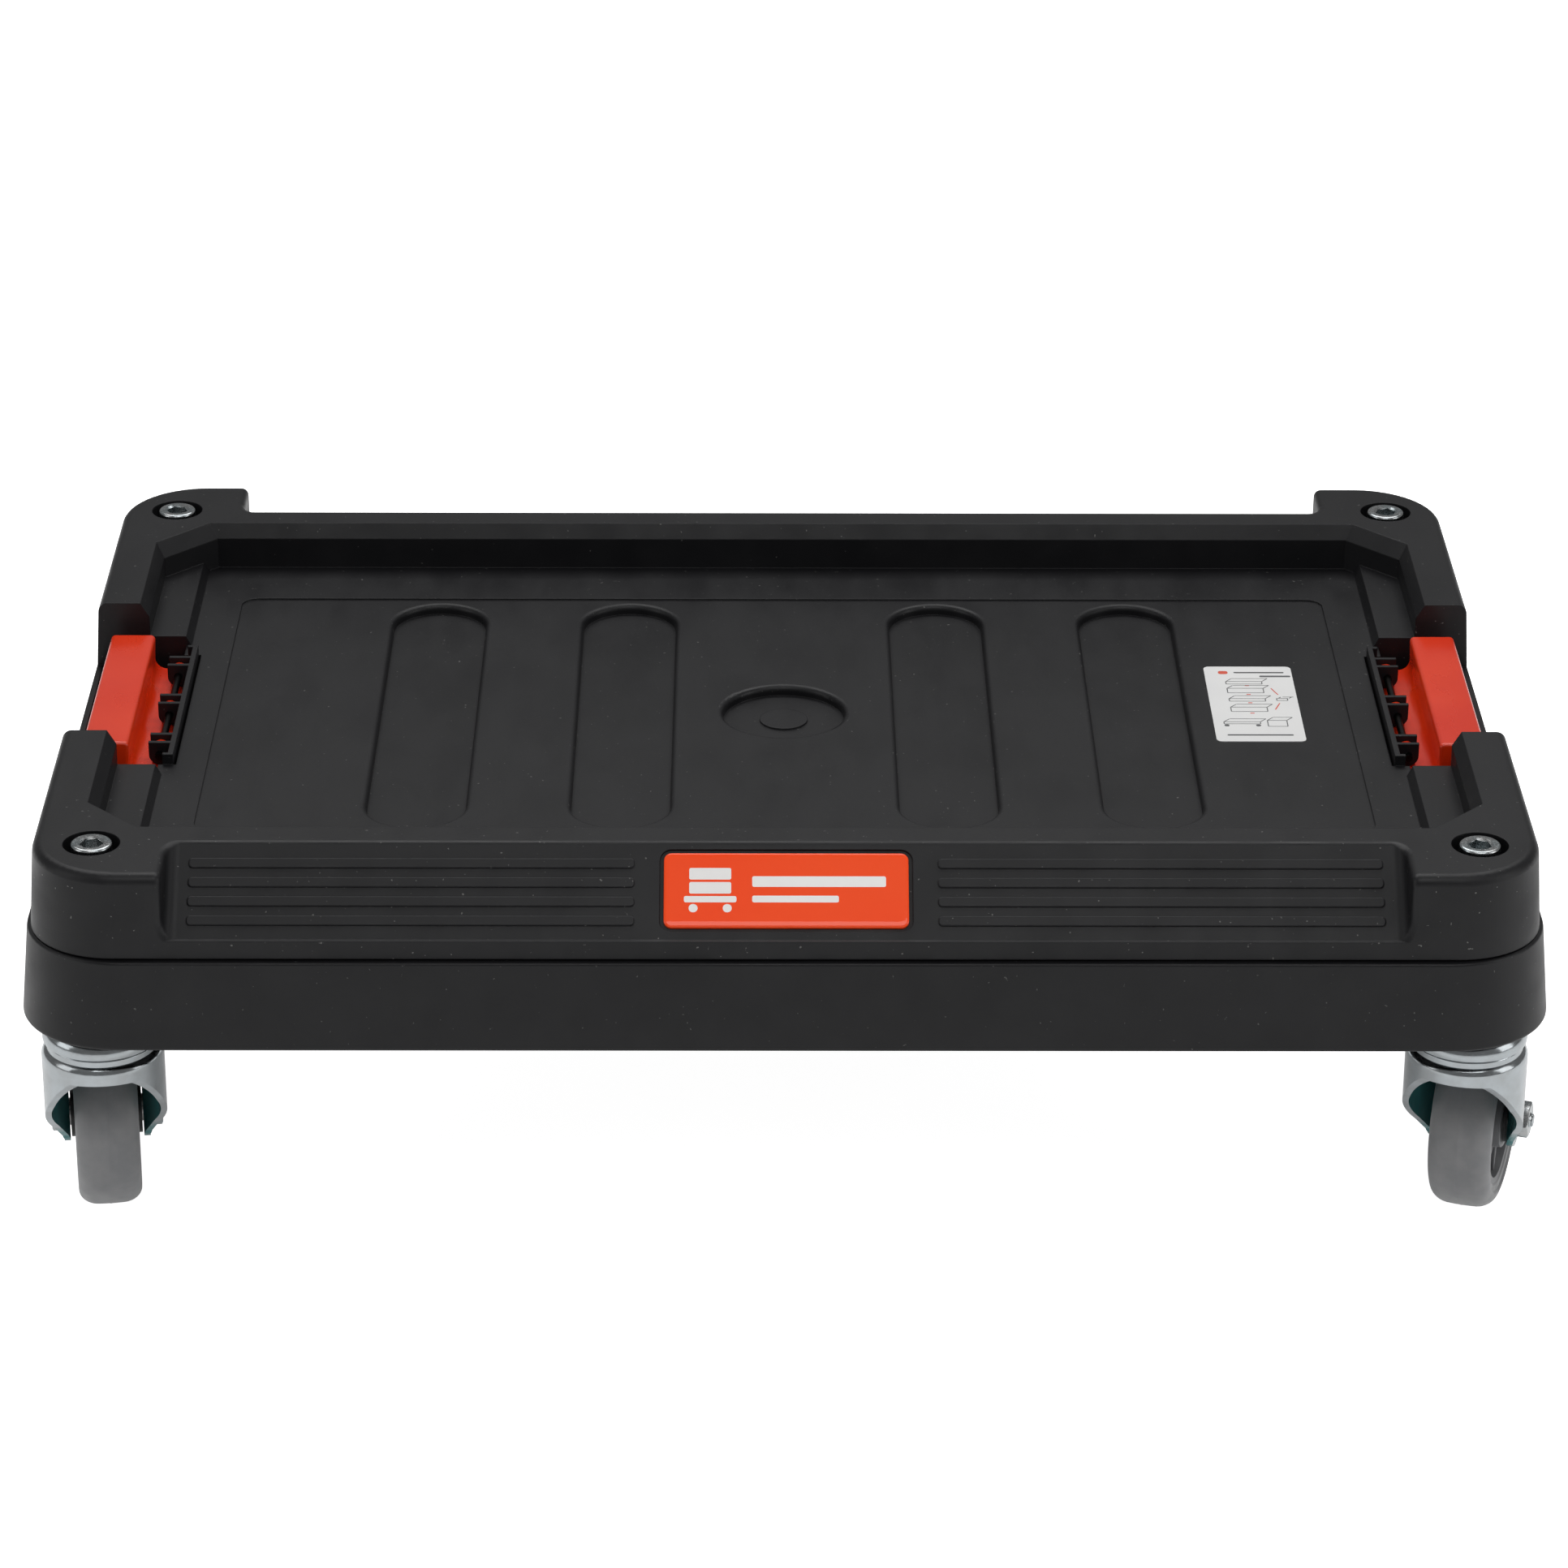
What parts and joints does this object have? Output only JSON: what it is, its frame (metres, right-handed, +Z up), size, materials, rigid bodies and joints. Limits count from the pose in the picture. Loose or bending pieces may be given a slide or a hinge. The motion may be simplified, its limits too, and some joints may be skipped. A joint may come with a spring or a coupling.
{
  "type": "transport dolly",
  "caption": "Low rectangular transport dolly: moulded tray deck bolted to a base frame, swivel castors at the corners and flip-up side latches for a stacking box.",
  "frame": {"origin": "on the floor, under the middle of the base frame", "axes": "+Z up, +X to the right along the long side, +Y to the rear; the badge is on the -Y side"},
  "size_m": [0.5938, 0.4108, 0.1695],
  "materials": {
    "deck_moulding": "satin black polypropylene with a fine moulded texture",
    "frame_moulding": "satin black polypropylene with a fine moulded texture",
    "latch_moulding": "glossy orange-red moulded plastic",
    "badge_resin": "orange-red print under a clear domed resin",
    "label_film": "white printed film",
    "zinc_steel": "pressed steel, bright blue-passivated zinc plate",
    "bolt_steel": "zinc-plated steel fastener",
    "pin_steel": "drawn steel",
    "ball_steel": "polished bearing steel",
    "bush_moulding": "black moulded nylon",
    "core_moulding": "grey moulded polypropylene",
    "tyre_rubber": "grey non-marking thermoplastic rubber"
  },
  "bodies": {
    "root": {"deck": "deck_moulding", "base_frame": "frame_moulding", "front_badge": "badge_resin", "stacking_label": "label_film", "latch_pin_left": "pin_steel", "latch_pin_right": "pin_steel", "castor_bolts": "bolt_steel", "bolt_washers": "bolt_steel", "castor_locknuts": "bolt_steel", "castor_head_front_left": "zinc_steel", "kingpin_front_left": "zinc_steel", "castor_head_front_right": "zinc_steel", "kingpin_front_right": "zinc_steel", "castor_head_rear_left": "zinc_steel", "kingpin_rear_left": "zinc_steel", "castor_head_rear_right": "zinc_steel", "kingpin_rear_right": "zinc_steel"},
    "castor_front_left": {"fork_front_left": "zinc_steel", "axle_bolt_front_left": "bolt_steel", "axle_nut_front_left": "bolt_steel", "axle_sleeve_front_left": "pin_steel", "bearing_balls_front_left": "ball_steel"},
    "wheel_front_left": {"tyre_front_left": "tyre_rubber", "wheel_core_front_left": "core_moulding", "wheel_bushes_front_left": "bush_moulding"},
    "castor_front_right": {"fork_front_right": "zinc_steel", "axle_bolt_front_right": "bolt_steel", "axle_nut_front_right": "bolt_steel", "axle_sleeve_front_right": "pin_steel", "bearing_balls_front_right": "ball_steel"},
    "wheel_front_right": {"tyre_front_right": "tyre_rubber", "wheel_core_front_right": "core_moulding", "wheel_bushes_front_right": "bush_moulding"},
    "castor_rear_left": {"fork_rear_left": "zinc_steel", "axle_bolt_rear_left": "bolt_steel", "axle_nut_rear_left": "bolt_steel", "axle_sleeve_rear_left": "pin_steel", "bearing_balls_rear_left": "ball_steel"},
    "wheel_rear_left": {"tyre_rear_left": "tyre_rubber", "wheel_core_rear_left": "core_moulding", "wheel_bushes_rear_left": "bush_moulding"},
    "castor_rear_right": {"fork_rear_right": "zinc_steel", "axle_bolt_rear_right": "bolt_steel", "axle_nut_rear_right": "bolt_steel", "axle_sleeve_rear_right": "pin_steel", "bearing_balls_rear_right": "ball_steel"},
    "wheel_rear_right": {"tyre_rear_right": "tyre_rubber", "wheel_core_rear_right": "core_moulding", "wheel_bushes_rear_right": "bush_moulding"},
    "latch_left": {"latch_left": "latch_moulding"},
    "latch_right": {"latch_right": "latch_moulding"}
  },
  "joints": [
    {"name": "swivel_front_left", "type": "hinge", "parent": "root", "child": "castor_front_left", "pos_m": [-0.2655, -0.1688, 0.09], "axis": [0, 0, 1], "continuous": true},
    {"name": "spin_front_left", "type": "hinge", "parent": "castor_front_left", "child": "wheel_front_left", "pos_m": [-0.26957, -0.13908, 0.0375], "axis": [0.9907, 0.1357, 0], "continuous": true},
    {"name": "swivel_front_right", "type": "hinge", "parent": "root", "child": "castor_front_right", "pos_m": [0.2655, -0.1688, 0.09], "axis": [0, 0, 1], "continuous": true},
    {"name": "spin_front_right", "type": "hinge", "parent": "castor_front_right", "child": "wheel_front_right", "pos_m": [0.27477, -0.14027, 0.0375], "axis": [0.9511, -0.309, 0], "continuous": true},
    {"name": "swivel_rear_left", "type": "hinge", "parent": "root", "child": "castor_rear_left", "pos_m": [-0.2655, 0.1688, 0.09], "axis": [0, 0, 1], "continuous": true},
    {"name": "spin_rear_left", "type": "hinge", "parent": "castor_rear_left", "child": "wheel_rear_left", "pos_m": [-0.26968, 0.13909, 0.0375], "axis": [-0.9903, 0.1392, 0], "continuous": true},
    {"name": "swivel_rear_right", "type": "hinge", "parent": "root", "child": "castor_rear_right", "pos_m": [0.2655, 0.1688, 0.09], "axis": [0, 0, 1], "continuous": true},
    {"name": "spin_rear_right", "type": "hinge", "parent": "castor_rear_right", "child": "wheel_rear_right", "pos_m": [0.27122, 0.13935, 0.0375], "axis": [-0.9816, -0.1908, 0], "continuous": true},
    {"name": "latch_left_flip", "type": "hinge", "parent": "root", "child": "latch_left", "pos_m": [-0.2529, 0, 0.1486], "axis": [0, 1, 0], "range_deg": [0, 95]},
    {"name": "latch_right_flip", "type": "hinge", "parent": "root", "child": "latch_right", "pos_m": [0.2529, 0, 0.1486], "axis": [0, -1, 0], "range_deg": [0, 95]}
  ]
}
